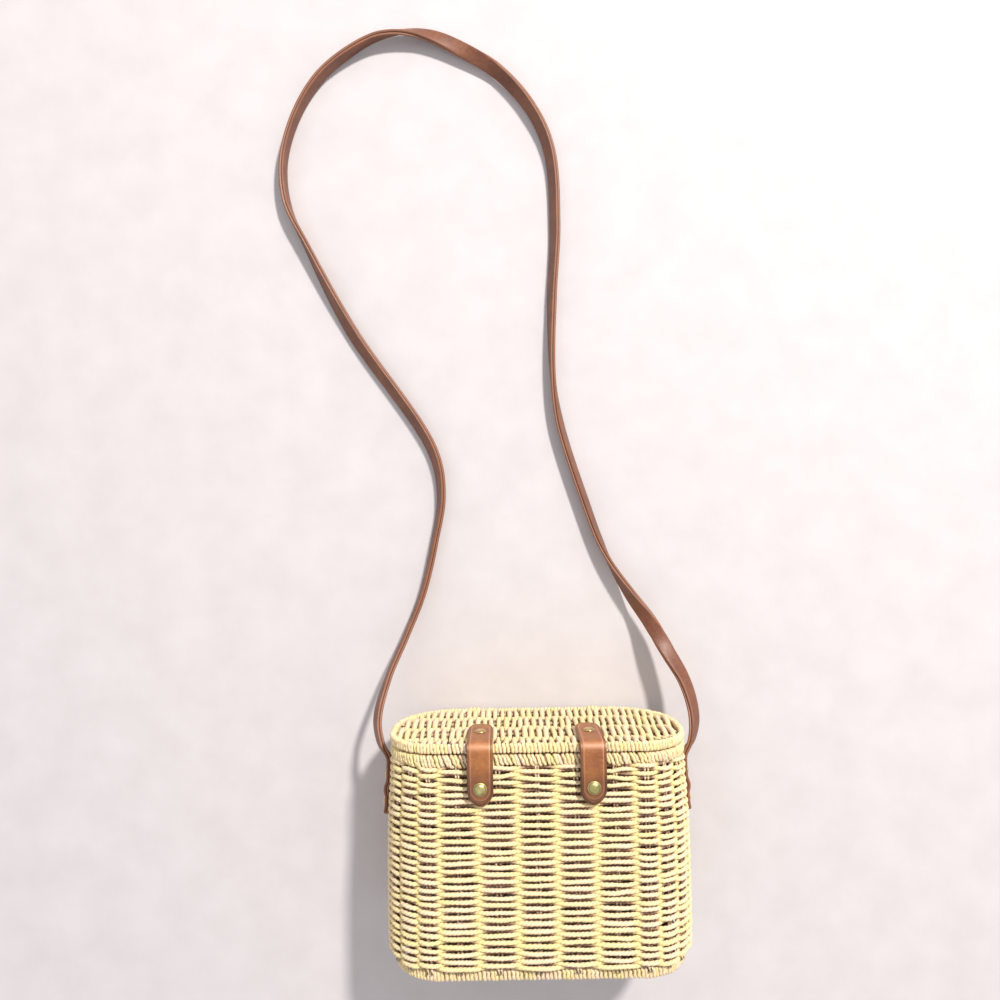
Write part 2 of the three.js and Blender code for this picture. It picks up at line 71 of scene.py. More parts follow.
# Only this much of the lid rim is wrapped: the lid's weave covers the rest
LID_EDGE_WIDTH = 4.6
LID_TOP_Y = LID_RIM_Y + LID_RIM_HEIGHT
LID_PANEL_TOP = LID_TOP_Y - 0.8
LID_PANEL_THICKNESS = 5.0
LID_WEAVE_TOP = LID_TOP_Y - 0.3
BASE_WEAVE_FOOT = BASE_Y + 1.2
MIDDLE_Z = BODY_DEPTH / 2

# The wall's profile: share of its woven height, and how far it lies inside the plan outline there
WALL_PROFILE = [
    (0, FOOT_INSET), (0.06, 0), (0.36, 0),
    (0.7, MOUTH_INSET * 0.3), (0.86, MOUTH_INSET * 0.8), (1, MOUTH_INSET),
]

# Stakes in pairs, as columns round the wall and as rows across the lid and the base
FRONT_STAKES = 5
FRONT_COLUMN = 27.4
COLUMN_SHIFT = -2.0
SIDE_STAKES = 9
LID_STAKES = 4
LID_COLUMN = 26.7
STAKE_PAIR = (-1.1, 1.1)
STAKE_RADIUS = 1.15
STAKE_LAY = 7.0
STAKE_SIDES = 6
STAKE_STEP = 2.8

# Twisted cords: the lay is the length of one turn, the waist how thin a cord is between its two plies
CORD_RADIUS = 1.66
CORD_LAY = 6.2
CORD_SIDES = 8
PLY_WAIST = 0.8
PLY_POWER = 1.1
CROSSING_SPREAD = 0.7

# Sizes of the tabs, snaps and rivets
TAB_SPACING = 78.0
TAB_SHIFT = -2.2
TAB_WIDTH = 18.0
TAB_THICKNESS = 2.0
TAB_ON_LID = 45.0
TAB_DROP = 41.0
TAB_BEND = 3.5
TAB_CORNER = (6.5, 12.0)
PATCH_THICKNESS = 1.5
PATCH_HEIGHT = 26.0
PATCH_BELOW_TAB = 2.5
# The leather of a patch ends a little below its solid
PATCH_REACH = 27.2
PATCH_CORNER = (5.5, 5.5)
PATCH_TIP = 10.0
PATCH_TIP_POWER = 1.15
LID_RIVET_FROM_FRONT = 24.5
SNAP_BELOW_TOP = 29.0
RIVET_HEAD = 8.4
RIVET_HEIGHT = 1.8
CAP_HEAD = 9.5
CAP_HEIGHT = 2.1
STUD_HEAD = 8.0
STUD_REACH = 8.0
WASHER = 0.6
WASHER_WIDTH = 8.0
SHANK_RADIUS = 1.5
HEAD_LIFT = 0.1

# Sizes of the strap and its riveted ends
STRAP_WIDTH = 11.6
STRAP_THICKNESS = 4.2
STRAP_END_TOP = 22.0
STRAP_END_LENGTH = 36.0
STRAP_BULGE = 1.6
STRAP_RIVET_DROPS = (29.0, 49.0)
STRAP_RIVET_HEAD = 7.0
STRAP_RIVET_HEIGHT = 1.4

# Camera: it looks almost straight down on the bag's front
CAMERA_AT = (-24.7, 245.4, 642.0)
CAMERA_TILT = 0.0071
CAMERA_ROLL = -0.0151
SENSOR_WIDTH = 36
FOCAL_SHARE = 0.78

camera_data = bpy.data.cameras.new("camera")
camera_data.sensor_width = SENSOR_WIDTH
camera_data.lens = SENSOR_WIDTH * FOCAL_SHARE
camera_data.clip_start = 0.01
camera = bpy.data.objects.new("camera", camera_data)
camera.location = [c * MM for c in CAMERA_AT]
camera.rotation_euler = (CAMERA_TILT, 0, CAMERA_ROLL)
bpy.context.scene.collection.objects.link(camera)
bpy.context.scene.camera = camera
bpy.context.scene.view_settings.view_transform = "Standard"


# Materials
def new_material(name):
    material = bpy.data.materials.new(name)
    material.use_nodes = True
    tree = material.node_tree
    return material, tree, tree.nodes["Principled BSDF"]


def noise(tree, vector, scale, detail=3.0, roughness=0.55):
    made = tree.nodes.new("ShaderNodeTexNoise")
    made.inputs["Scale"].default_value = scale
    made.inputs["Detail"].default_value = detail
    made.inputs["Roughness"].default_value = roughness
    tree.links.new(vector, made.inputs["Vector"])
    return made.outputs["Fac"]


def remap(tree, value, low, high, to_low=0.0, to_high=1.0):
    made = tree.nodes.new("ShaderNodeMapRange")
    made.inputs["From Min"].default_value = low
    made.inputs["From Max"].default_value = high
    made.inputs["To Min"].default_value = to_low
    made.inputs["To Max"].default_value = to_high
    tree.links.new(value, made.inputs["Value"])
    return made.outputs["Result"]


def mix(tree, factor, first, second):
    """A colour between first and second. The node's colour sockets go by number."""
    made = tree.nodes.new("ShaderNodeMix")
    made.data_type = "RGBA"
    for value, socket in ((factor, 0), (first, 6), (second, 7)):
        if isinstance(value, tuple):
            made.inputs[socket].default_value = (*value, 1)
        else:
            tree.links.new(value, made.inputs[socket])
    return made.outputs[2]


def calc(tree, operation, first, second):
    made = tree.nodes.new("ShaderNodeMath")
    made.operation = operation
    for index, value in enumerate((first, second)):
        if isinstance(value, (int, float)):
            made.inputs[index].default_value = value
        else:
            tree.links.new(value, made.inputs[index])
    return made.outputs[0]


def attribute(tree, name):
    made = tree.nodes.new("ShaderNodeAttribute")
    made.attribute_name = name
    return made.outputs["Fac"]


def object_place(tree):
    return tree.nodes.new("ShaderNodeTexCoord").outputs["Object"]


def bump(tree, shader, height, strength, distance):
    made = tree.nodes.new("ShaderNodeBump")
    made.inputs["Strength"].default_value = strength
    made.inputs["Distance"].default_value = distance
    tree.links.new(height, made.inputs["Height"])
    tree.links.new(made.outputs["Normal"], shader.inputs["Normal"])


def straw_material(name, pale, yellow, deep, dark):
    """Twisted straw cord: yellower where cords cross, darker in its grooves as painted shade, and dark brown
    where it lies far in, also as painted shade.
    """
    fibres_along = 6.0
    fibres_around = 9.0
    strand_shift = 37.0
    strand_tint = 0.45
    blotch_tint = 0.75
    material, tree, shader = new_material(name)
    strand = attribute(tree, "strand")
    fibre_place = tree.nodes.new("ShaderNodeCombineXYZ")
    tree.links.new(calc(tree, "MULTIPLY", attribute(tree, "along"), fibres_along), fibre_place.inputs[0])
    tree.links.new(calc(tree, "MULTIPLY", attribute(tree, "around"), fibres_around), fibre_place.inputs[1])
    tree.links.new(calc(tree, "MULTIPLY", strand, strand_shift), fibre_place.inputs[2])
    fibre = noise(tree, fibre_place.outputs[0], scale=1.0, detail=4.0, roughness=0.6)
    blotch = calc(tree, "MULTIPLY", noise(tree, object_place(tree), scale=90.0), blotch_tint)
    tint = calc(tree, "ADD", calc(tree, "MULTIPLY", strand, strand_tint), blotch)
    colour = mix(tree, remap(tree, tint, 0.45, 1.05), pale, yellow)
    colour = mix(tree, remap(tree, attribute(tree, "cross"), 0.0, 1.0, to_high=0.85), colour, yellow)
    colour = mix(tree, remap(tree, fibre, 0.5, 0.85, to_high=0.45), colour, deep)
    # Painted shade: the deep colour darkens the grooves between the plies
    colour = mix(tree, remap(tree, attribute(tree, "groove"), 0.5, 1.0, to_high=0.55), colour, deep)
    # Painted shade: the dark colour stands in for the shade on cords far in the weave, on stakes in its gaps
    # and on band cores
    colour = mix(tree, attribute(tree, "depth"), colour, dark)
    tree.links.new(colour, shader.inputs["Base Color"])
    tree.links.new(remap(tree, fibre, 0.3, 0.8, to_low=0.45, to_high=0.72), shader.inputs["Roughness"])
    shader.inputs["Specular IOR Level"].default_value = 0.35
    shader.inputs["Sheen Weight"].default_value = 0.12
    shader.inputs["Sheen Roughness"].default_value = 0.4
    bump(tree, shader, fibre, strength=0.6, distance=0.0005)
    return material


def leather_material(name, base, dark, light, rough):
    """Leather with fine grain and cloudy tint, paler where the mesh marks painted highlights and stretched
    leather, and darker where it marks painted shade in grooves and round a snap.
    """
    grain_scale = 1400.0
    fine_height = 1.5
    # The colour of painted shade is the dark tint at this share of its brightness
    crease_shade = 0.3
    crease = tuple(crease_shade * c for c in dark)
    material, tree, shader = new_material(name)
    place = object_place(tree)
    cloud = noise(tree, place, scale=70.0, detail=4.0)
    fine = noise(tree, place, scale=520.0, detail=4.0, roughness=0.65)
    grain = tree.nodes.new("ShaderNodeTexVoronoi")
    grain.inputs["Scale"].default_value = grain_scale
    tree.links.new(place, grain.inputs["Vector"])
    colour = mix(tree, remap(tree, cloud, 0.32, 0.68), dark, base)
    colour = mix(tree, remap(tree, fine, 0.5, 0.8, to_high=0.35), colour, light)
    # Painted highlight, with stretched leather at a tab's bend, then painted shade
    colour = mix(tree, attribute(tree, "rub"), colour, light)
    colour = mix(tree, attribute(tree, "crease"), colour, crease)
    tree.links.new(colour, shader.inputs["Base Color"])
    roughness = remap(tree, fine, 0.3, 0.75, to_low=rough - 0.1, to_high=rough + 0.14)
    tree.links.new(roughness, shader.inputs["Roughness"])
    shader.inputs["Specular IOR Level"].default_value = 0.5
    height = calc(tree, "ADD", grain.outputs["Distance"], calc(tree, "MULTIPLY", fine, fine_height))
    bump(tree, shader, height, strength=0.3, distance=0.0002)
    return material


def metal_material(name, base, worn, tarnish, rough):
    """Old brass: brighter where the mesh says it is rubbed, brown where dirt gathers."""
    material, tree, shader = new_material(name)
    cloud = noise(tree, object_place(tree), scale=300.0, detail=4.0)
    colour = mix(tree, remap(tree, cloud, 0.35, 0.7), base, worn)
    colour = mix(tree, attribute(tree, "rub"), colour, worn)
    colour = mix(tree, attribute(tree, "crease"), colour, tarnish)
    tree.links.new(colour, shader.inputs["Base Color"])
    shader.inputs["Metallic"].default_value = 1.0
    roughness = remap(tree, cloud, 0.3, 0.75, to_low=rough, to_high=rough + 0.16)
    tree.links.new(roughness, shader.inputs["Roughness"])
    bump(tree, shader, cloud, strength=0.12, distance=0.0002)
    return material


# In both straws deep gives the fibres their darker tone and also darkens the grooves as painted shade; dark
# is the colour of painted shade
straw = straw_material(
    "straw_cord",
    pale=(0.92, 0.72, 0.51), yellow=(0.88, 0.74, 0.31), deep=(0.62, 0.40, 0.19), dark=(0.31, 0.172, 0.112))
# A darker copy of the straw cord, as painted shade on the band cores seen between the wrapped cords
shaded_straw_core = straw_material(
    "shaded_straw_core",
    pale=(0.50, 0.34, 0.19), yellow=(0.46, 0.32, 0.14), deep=(0.34, 0.20, 0.11), dark=(0.24, 0.13, 0.085))
# In the leathers light is also the colour of painted highlights, and a share of dark that of painted shade
tab_leather = leather_material(
    "tab_leather",
    base=(0.34, 0.122, 0.028), dark=(0.21, 0.066, 0.02), light=(0.60, 0.29, 0.155), rough=0.45)
strap_leather = leather_material(
    "strap_leather",
    base=(0.195, 0.067, 0.029), dark=(0.125, 0.041, 0.021), light=(0.40, 0.18, 0.10), rough=0.46)
cap_brass = metal_material(
    "cap_brass", base=(0.36, 0.32, 0.11), worn=(0.66, 0.58, 0.27), tarnish=(0.13, 0.09, 0.04), rough=0.36)
rivet_brass = metal_material(
    "rivet_brass", base=(0.62, 0.44, 0.17), worn=(0.82, 0.66, 0.36), tarnish=(0.20, 0.12, 0.05), rough=0.26)


class Soup:
    """Collects points, quads and point attributes for one mesh, in millimetres."""

    def __init__(self):
        self.points = []
        self.faces = []
        self.values = {}
        self.count = 0

    def add(self, points, faces, **values):
        points = np.asarray(points, float)
        self.points.append(points)
        self.faces.append(np.asarray(faces) + self.count)
        for key, value in values.items():
            self.values.setdefault(key, []).append(np.broadcast_to(value, (len(points),)))
        self.count += len(points)

    def build(self, name, material, node):
        mesh = bpy.data.meshes.new(name)
        mesh.from_pydata((np.vstack(self.points) * MM).tolist(), [], np.vstack(self.faces).tolist())
        for key, value in self.values.items():
            layer = mesh.attributes.new(key, "FLOAT", "POINT")
            layer.data.foreach_set("value", np.concatenate(value).astype(np.float32))
        mesh.materials.append(material)
        mesh.polygons.foreach_set("use_smooth", [True] * len(mesh.polygons))
        mesh.validate()
        mesh.update()
        piece = bpy.data.objects.new(name, mesh)
        bpy.context.scene.collection.objects.link(piece)
        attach(piece, "root")
        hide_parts(node)
        return piece


def grid_faces(rows, columns, close_rows=False):
    """Quads of a grid of points, row after row, closed along each row."""
    r = np.arange(rows if close_rows else rows - 1)
    rr, cc = np.meshgrid(r, np.arange(columns), indexing="ij")
    nr = (rr + 1) % rows
    nc = (cc + 1) % columns
    corners = [rr * columns + cc, rr * columns + nc, nr * columns + nc, nr * columns + cc]
    return np.stack(corners, -1).reshape(-1, 4)


# The basket's outline in plan, from the middle of the front towards +X
def outline_runs():
    """Rows of facing in degrees, corner radius, the start or the centre, and length."""
    half_x = BODY_WIDTH / 2
    half_z = BODY_DEPTH / 2
    front_x = half_x - FRONT_CORNER
    back_x = half_x - BACK_CORNER
    front_z = half_z - FRONT_CORNER
    back_z = half_z - BACK_CORNER
    side = BODY_DEPTH - FRONT_CORNER - BACK_CORNER
    front_arc = math.pi * FRONT_CORNER / 2
    back_arc = math.pi * BACK_CORNER / 2
    return np.array([
        (90, 0, 0, half_z, front_x),
        (90, FRONT_CORNER, front_x, front_z, front_arc),
        (0, 0, half_x, front_z, side),
        (0, BACK_CORNER, back_x, -back_z, back_arc),
        (-90, 0, back_x, -half_z, 2 * back_x),
        (-90, BACK_CORNER, -back_x, -back_z, back_arc),
        (180, 0, -half_x, -back_z, side),
        (180, FRONT_CORNER, -front_x, front_z, front_arc),
        (90, 0, -front_x, half_z, front_x),
    ], float)


RUNS = outline_runs()
RUN_STARTS = np.concatenate([[0], np.cumsum(RUNS[:, 4])])
PERIMETER = RUN_STARTS[-1]
FRONT_LENGTH = FRONT_STAKES * FRONT_COLUMN
SIDE_COLUMN = (PERIMETER / 2 - FRONT_LENGTH) / SIDE_STAKES
COLUMN_WIDTHS = np.array(([FRONT_COLUMN] * FRONT_STAKES + [SIDE_COLUMN] * SIDE_STAKES) * 2)
FIRST_EDGE = COLUMN_SHIFT - FRONT_LENGTH / 2
COLUMN_EDGES = FIRST_EDGE + np.concatenate([[0], np.cumsum(COLUMN_WIDTHS)])
COLUMN_MIDDLES = (COLUMN_EDGES[:-1] + COLUMN_EDGES[1:]) / 2


def outline(distance):
    """Points (x, z) and outward normals of the plan outline at distances along it."""
    d = np.mod(distance, PERIMETER)
    index = np.clip(np.searchsorted(RUN_STARTS, d, side="right") - 1, 0, len(RUNS) - 1)
    facing, radius, x, z, _ = RUNS[index].T
    left = d - RUN_STARTS[index]
    arc = radius > 0
    turned = np.radians(facing) - np.where(arc, left / np.maximum(radius, 1), 0)
    normal = np.stack([np.cos(turned), np.sin(turned)], -1)
    travel = np.stack([normal[:, 1], -normal[:, 0]], -1)
    straight = np.where(arc, 0, left)[:, None] * travel
    return np.stack([x, z], -1) + radius[:, None] * normal + straight, normal


def column_phase(distance):
    """How many columns lie before this distance along the outline; halves at the stakes."""
    d = np.mod(distance - FIRST_EDGE, PERIMETER) + FIRST_EDGE
    return np.interp(d, COLUMN_EDGES, np.arange(len(COLUMN_EDGES))) - 0.5


def wall_inset(share):
    """How far the wall lies inside the plan outline, at a share of its woven height."""
    return np.interp(share, [p[0] for p in WALL_PROFILE], [p[1] for p in WALL_PROFILE])


def inset_at(y):
    """The same at a height y."""
    return wall_inset((y - FOOT_Y) / WOVEN_HEIGHT)


def from_plan(flat, y):
    """Points in the row frame from plan points (x, z) and their height y on the standing bag."""
    return np.stack([flat[:, 0], y, MIDDLE_Z + flat[:, 1]], -1)


def smooth_random(count, step, amount):
    """Slowly varying random values along a strand, with a new knot every so many steps."""
    knots = rng.normal(0, amount, int(count / step) + 4)
    return np.interp(np.arange(count) / step, np.arange(len(knots)), knots)


def add_cord(soup, centres, first, second, radius, lay,
             closed=False, sides=CORD_SIDES, depth=0.0, cross=0.0):
    """A two-ply twisted cord along centres. first and second are unit vectors across it."""
    steps = np.linalg.norm(np.diff(centres, axis=0, append=centres[:1]), axis=1)
    along = np.concatenate([[0], np.cumsum(steps)[:-1]])
    turn = along / lay * 2 * math.pi
    if closed:
        total = along[-1] + steps[-1]
        turn = along / total * max(1, round(total / lay)) * 2 * math.pi
    turn = turn + rng.uniform(0, 2 * math.pi)
    theta = np.arange(sides) / sides * 2 * math.pi
    psi = theta[None, :] + turn[:, None]
    ply = np.abs(np.cos(theta))[None, :]
    reach = PLY_WAIST + (1 - PLY_WAIST) * ply ** PLY_POWER
    size = reach * (np.asarray(radius) * np.ones(len(centres)))[:, None]
    points = (centres[:, None, :] + (size * np.cos(psi))[..., None] * first[:, None, :]
              + (size * np.sin(psi))[..., None] * second[:, None, :])
    # groove darkens the colour between the two plies and depth where the cord lies far in, both as painted
    # shade; for the wraps depth is a random darker tone
    soup.add(
        points.reshape(-1, 3),
        grid_faces(len(centres), sides, close_rows=closed),
        groove=np.broadcast_to(1 - ply, psi.shape).reshape(-1),
        strand=rng.random(),
        depth=np.repeat(np.broadcast_to(depth, (len(centres),)), sides),
        cross=np.repeat(np.broadcast_to(cross, (len(centres),)), sides),
        along=np.repeat(along, sides),
        around=np.tile(theta / (2 * math.pi), len(centres)),
    )


def weave_swing(phase, sharpness):
    """From 1, where a cord lies outside a stake, to -1, where it lies behind one."""
    return np.tanh(sharpness * np.cos(phase * math.pi)) / math.tanh(sharpness)


def weave_shades(swing, shade_from, shade_span):
    """How far in a cord lies, for its painted shade, and how near it is to a crossing."""
    return np.clip((-shade_from - swing) / shade_span, 0, 1), np.exp(-(swing / CROSSING_SPREAD) ** 2)


# Woven wall: weft cords that go over and under pairs of stakes. A wave is counted in points along
# a cord, and each wander or change is the standard deviation of a random value
CORD_SEAT = 1.2
BACK_SEAT = 2.0
CROSS_REACH = 1.75
WEFT_STEP = 1.05
WEFT_ROWS = 54
WEFT_SHARPNESS = 1.6
# Cords that swing far in are tinted dark brown as painted shade, from this swing over this span
WEFT_SHADE_FROM = 0.1
WEFT_SHADE_SPAN = 0.8
SHORT_WANDER = 0.26
LONG_WANDER = 0.42
WANDER_LIMIT = 1.1
LOOSE_FROM = 0.84
LOOSE_WANDER = 0.5
CLOSING_POWER = 0.2
SHORT_WAVE = 8
LONG_WAVE = 26
RADIUS_WAVE = 7
RADIUS_CHANGE = 0.05
FINE_RADIUS_CHANGE = 0.035
LAY_CHANGE = 0.5
BEHIND_SWELL = 0.12
STAKE_WANDER = 0.4
STAKE_SHARES = (-0.02, 1.04)
# How much painted shade tints the stakes in the gaps of the weave, and how little where they enter the rim
# and border
GAP_SHADE = 1.05
GAP_SHADE_CHANGE = 0.3
LEAST_GAP_SHADE = 0.1
PALE_STAKE_SHARES = (0.02, 0.93)
PALE_STAKE_SHADE = 0.05


def cord_seat(normal):
    """How far in the outermost cords lie: they are pressed flat where the bag lies on its back."""
    return CORD_SEAT + (BACK_SEAT - CORD_SEAT) * np.clip(-normal[:, 1], 0, 1)


def across_frame(normal):
    """A plan normal as a direction in the row frame."""
    return np.stack([normal[:, 0], np.zeros(len(normal)), normal[:, 1]], -1)


def weft_row(index):
    """One cord round the wall: its centres, its outward directions and its swing."""
    count = int(PERIMETER / WEFT_STEP)
    distance = np.arange(count) / count * PERIMETER
    swing = weave_swing(column_phase(distance) + index, WEFT_SHARPNESS)
    share = (index + 0.5) / WEFT_ROWS
    loose = SHORT_WANDER + LOOSE_WANDER * max(0, (share - LOOSE_FROM) / (1 - LOOSE_FROM))
    closing = np.sin(np.pi * np.arange(count) / count) ** CLOSING_POWER
    wander = smooth_random(count, SHORT_WAVE, loose) + smooth_random(count, LONG_WAVE, LONG_WANDER)
    y = FOOT_Y + share * WOVEN_HEIGHT + np.clip(wander, -WANDER_LIMIT, WANDER_LIMIT) * closing
    place, normal = outline(distance)
    inset = wall_inset(share) + cord_seat(normal) + CROSS_REACH * (1 - swing)
    return from_plan(place - normal * inset[:, None], y), across_frame(normal), swing


def build_wefts(name, rows):
    soup = Soup()
    for index in rows:
        centres, out, swing = weft_row(index)
        count = len(centres)
        rough = 1 + rng.normal(0, FINE_RADIUS_CHANGE, count) + BEHIND_SWELL * np.clip(-swing, 0, 1)
        row_radius = CORD_RADIUS * (1 + rng.normal(0, RADIUS_CHANGE))
        radius = row_radius * (1 + smooth_random(count, RADIUS_WAVE, RADIUS_CHANGE)) * rough
        lay = CORD_LAY + rng.normal(0, LAY_CHANGE)
        up = np.broadcast_to(AXIS_Y, out.shape)
        depth, cross = weave_shades(swing, WEFT_SHADE_FROM, WEFT_SHADE_SPAN)
        add_cord(soup, centres, out, up, radius, lay, closed=True, depth=depth, cross=cross)
    soup.build(name, straw, "basket_wall")


def build_stakes():
    """Pairs of stakes, tinted dark brown as painted shade where they show in the gaps of the weave, and left
    pale where they enter the rim and the border.
    """
    soup = Soup()
    count = int(WOVEN_HEIGHT / STAKE_STEP)
    share = np.linspace(*STAKE_SHARES, count)
    pale = (share < PALE_STAKE_SHARES[0]) | (share > PALE_STAKE_SHARES[1])
    for middle in COLUMN_MIDDLES:
        for shift in STAKE_PAIR:
            place, normal = outline(middle + shift + smooth_random(count, SHORT_WAVE, STAKE_WANDER))
            inset = wall_inset(share) + cord_seat(normal) + CROSS_REACH
            centres = from_plan(place - normal * inset[:, None], FOOT_Y + share * WOVEN_HEIGHT)
            out = across_frame(normal)
            gap_shade = np.clip(rng.normal(GAP_SHADE, GAP_SHADE_CHANGE, count), LEAST_GAP_SHADE, 1)
            add_cord(soup, centres, out, np.cross(out, AXIS_Y), STAKE_RADIUS, STAKE_LAY,
                     sides=STAKE_SIDES, depth=np.where(pale, PALE_STAKE_SHADE, gap_shade))
    soup.build("wall_stakes", straw, "basket_wall")


ROWS_A_PIECE = WEFT_ROWS // 3
for third, third_name in enumerate(("lower", "middle", "upper")):
    build_wefts("wall_weave_" + third_name, range(third * ROWS_A_PIECE, (third + 1) * ROWS_A_PIECE))
build_stakes()


# Rims and border, each a core with cord wrapped round it. Turns are in radians from the outer face
Band = namedtuple("Band", "inset y width height")
BODY_RIM = Band(RIM_INSET, RIM_Y, RIM_WIDTH, RIM_HEIGHT)
LID_RIM = Band(RIM_INSET, LID_RIM_Y, LID_EDGE_WIDTH, LID_RIM_HEIGHT)
BASE_BORDER = Band(BORDER_INSET, BASE_Y, BORDER_WIDTH, BORDER_HEIGHT)
BAND_SQUARENESS = 0.55
WRAP_RADIUS = 1.5
WRAP_LAY = 9.0
WRAP_POINTS = 20
HANGING_TURN = 2.2
WRAP_RADIUS_CHANGE = 0.07
WRAP_SHADE = 0.12
START_CHANGE = 0.18
LEAN_CHANGE = 0.15
CORE_INSET = 1.8
CORE_STEPS = 280
CORE_SIDES = 12


def section_path(turn, width, height, squareness):
    """A rounded box path: depth inwards from the outer face, rise, and its outward direction."""
    def at(angle):
        c = np.cos(angle)
        s = np.sin(angle)
        return (width / 2 * (1 - np.sign(c) * np.abs(c) ** squareness),
                height / 2 * (1 + np.sign(s) * np.abs(s) ** squareness))
    depth, rise = at(turn)
    depth_next, rise_next = at(turn + 1e-3)
    along = np.stack([depth_next - depth, rise_next - rise], -1)
    along /= np.maximum(np.linalg.norm(along, axis=1), 1e-9)[:, None]
    return depth, rise, np.stack([along[:, 1], -along[:, 0]], -1)


def add_wrap(soup, band, start, slant, drop):
    """One turn of cord round a band. It leans by slant on the band's outer face and hangs down by drop."""
    quarter = math.pi / 2
    turn = np.linspace(-math.pi, math.pi, WRAP_POINTS)
    height = band.height - 2 * WRAP_RADIUS
    depth, rise, away = section_path(turn, band.width - 2 * WRAP_RADIUS, height, BAND_SQUARENESS)
    low = np.clip(1 - rise / height, 0, 1) * (np.abs(turn) < HANGING_TURN)
    ease = np.clip(turn / quarter, -1, 1)
    behind = np.clip((np.abs(turn) - quarter) / quarter, 0, 1)
    place, normal = outline(start - slant * np.sin(ease * quarter) * (1 - behind) / 2)
    flat = place - normal * (band.inset + WRAP_RADIUS + depth)[:, None]
    centres = from_plan(flat, band.y + WRAP_RADIUS + rise - drop * low)
    out = across_frame(normal)
    first = away[:, 1:] * np.array([AXIS_Y]) - away[:, :1] * out
    radius = WRAP_RADIUS * (1 + rng.normal(0, WRAP_RADIUS_CHANGE))
    yellow = rng.random() ** 2
    shade = WRAP_SHADE * rng.random()
    add_cord(soup, centres, first, np.cross(out, AXIS_Y), radius, WRAP_LAY, cross=yellow, depth=shade)


def wrap_band(name, band, pitch, slant, bundle, spread, ragged):
    """Cord wrapped round and round a band, in bundles that stand a little apart."""
    soup = Soup()
    bundles = int(round(PERIMETER / (pitch * bundle + spread)))
    step = PERIMETER / bundles
    for index in range(bundles):
        for strand in range(bundle):
            start = index * step + strand * pitch + rng.normal(0, START_CHANGE)
            lean = slant * (1 + rng.normal(0, LEAN_CHANGE))
            add_wrap(soup, band, start, lean, ragged * rng.random())
    soup.build(name + "_wraps", straw, name)


def fill_band(name, band):
    """The plain core inside a wrapped band, coloured dark brown as painted shade between the cords."""
    soup = Soup()
    place, normal = outline(np.arange(CORE_STEPS) / CORE_STEPS * PERIMETER)
    turn = np.linspace(-math.pi, math.pi, CORE_SIDES + 1)[:-1]
    width = band.width - 2 * CORE_INSET
    height = band.height - 2 * CORE_INSET
    depth, rise, _ = section_path(turn, width, height, BAND_SQUARENESS)
    flat = place[:, None, :] - normal[:, None, :] * (band.inset + CORE_INSET + depth)[None, :, None]
    y = np.tile(band.y + CORE_INSET + rise, CORE_STEPS)
    # Its groove and depth values darken it further as painted shade
    soup.add(from_plan(flat.reshape(-1, 2), y), grid_faces(CORE_STEPS, CORE_SIDES, close_rows=True),
             groove=0.5, strand=0.4, depth=0.7, cross=0.0, along=0.0, around=0.0)
    soup.build(name + "_core", shaded_straw_core, name)


def build_band(name, band, pitch, slant, bundle=1, spread=0.0, ragged=0.0):
    wrap_band(name, band, pitch, slant, bundle, spread, ragged)
    fill_band(name, band)


build_band("body_rim", BODY_RIM, pitch=2.5, slant=3.4, bundle=2, spread=0.9, ragged=2.4)
build_band("lid_rim", LID_RIM, pitch=2.7, slant=1.0)
build_band("base_border", BASE_BORDER, pitch=2.9, slant=1.0)


# Lid and base panels, woven like the wall. Their cords rise and fall by the panel rise
PANEL_RISE = 1.95
PANEL_PITCH = 2.68
PANEL_MARGIN = 2.0
PANEL_SHARPNESS = 0.6
# Panel cords are tinted dark brown near their lowest points, as painted shade in the holes of the weave
PANEL_SHADE_FROM = 0.4
PANEL_SHADE_SPAN = 0.2
PANEL_YELLOW = 0.6
PANEL_CORD_SHARE = 1.22
# The panel's stakes lie under its cords and are tinted with this much painted shade
PANEL_STAKE_SHADE = 0.45
PANEL_PHASE_CHANGE = 0.05
PANEL_WANDER = 0.3
PANEL_ROW_SHIFT = 0.2
PANEL_RADIUS_WAVE = 5
PANEL_RADIUS_CHANGE = 0.08
PANEL_STAKE_WANDER = 0.2
FEWEST_POINTS = 6
LID_WEAVE_INSET = RIM_INSET + LID_EDGE_WIDTH - 1.5
BASE_WEAVE_INSET = BORDER_INSET + BORDER_WIDTH - 1.0
LID_WEAVE_STEP = 1.4
BASE_WEAVE_STEP = 2.4


def span_z(x, inset):
    """Back and front limits of the plan, inset, at a distance x from its middle line."""
    limits = []
    for corner, sign in ((BACK_CORNER, -1), (FRONT_CORNER, 1)):
        over = max(0.0, abs(x) - (BODY_WIDTH / 2 - corner))
        reach = math.sqrt(max((corner - inset) ** 2 - over ** 2, 0.0))
        limits.append(sign * (BODY_DEPTH / 2 - corner + reach))
    return limits


def span_x(z, inset):
    """Half the plan's width, inset, at a distance z from its middle."""
    corner = FRONT_CORNER if z > 0 else BACK_CORNER
    over = max(0.0, abs(z) - (BODY_DEPTH / 2 - corner))
    return BODY_WIDTH / 2 - corner + math.sqrt(max((corner - inset) ** 2 - over ** 2, 0.0))


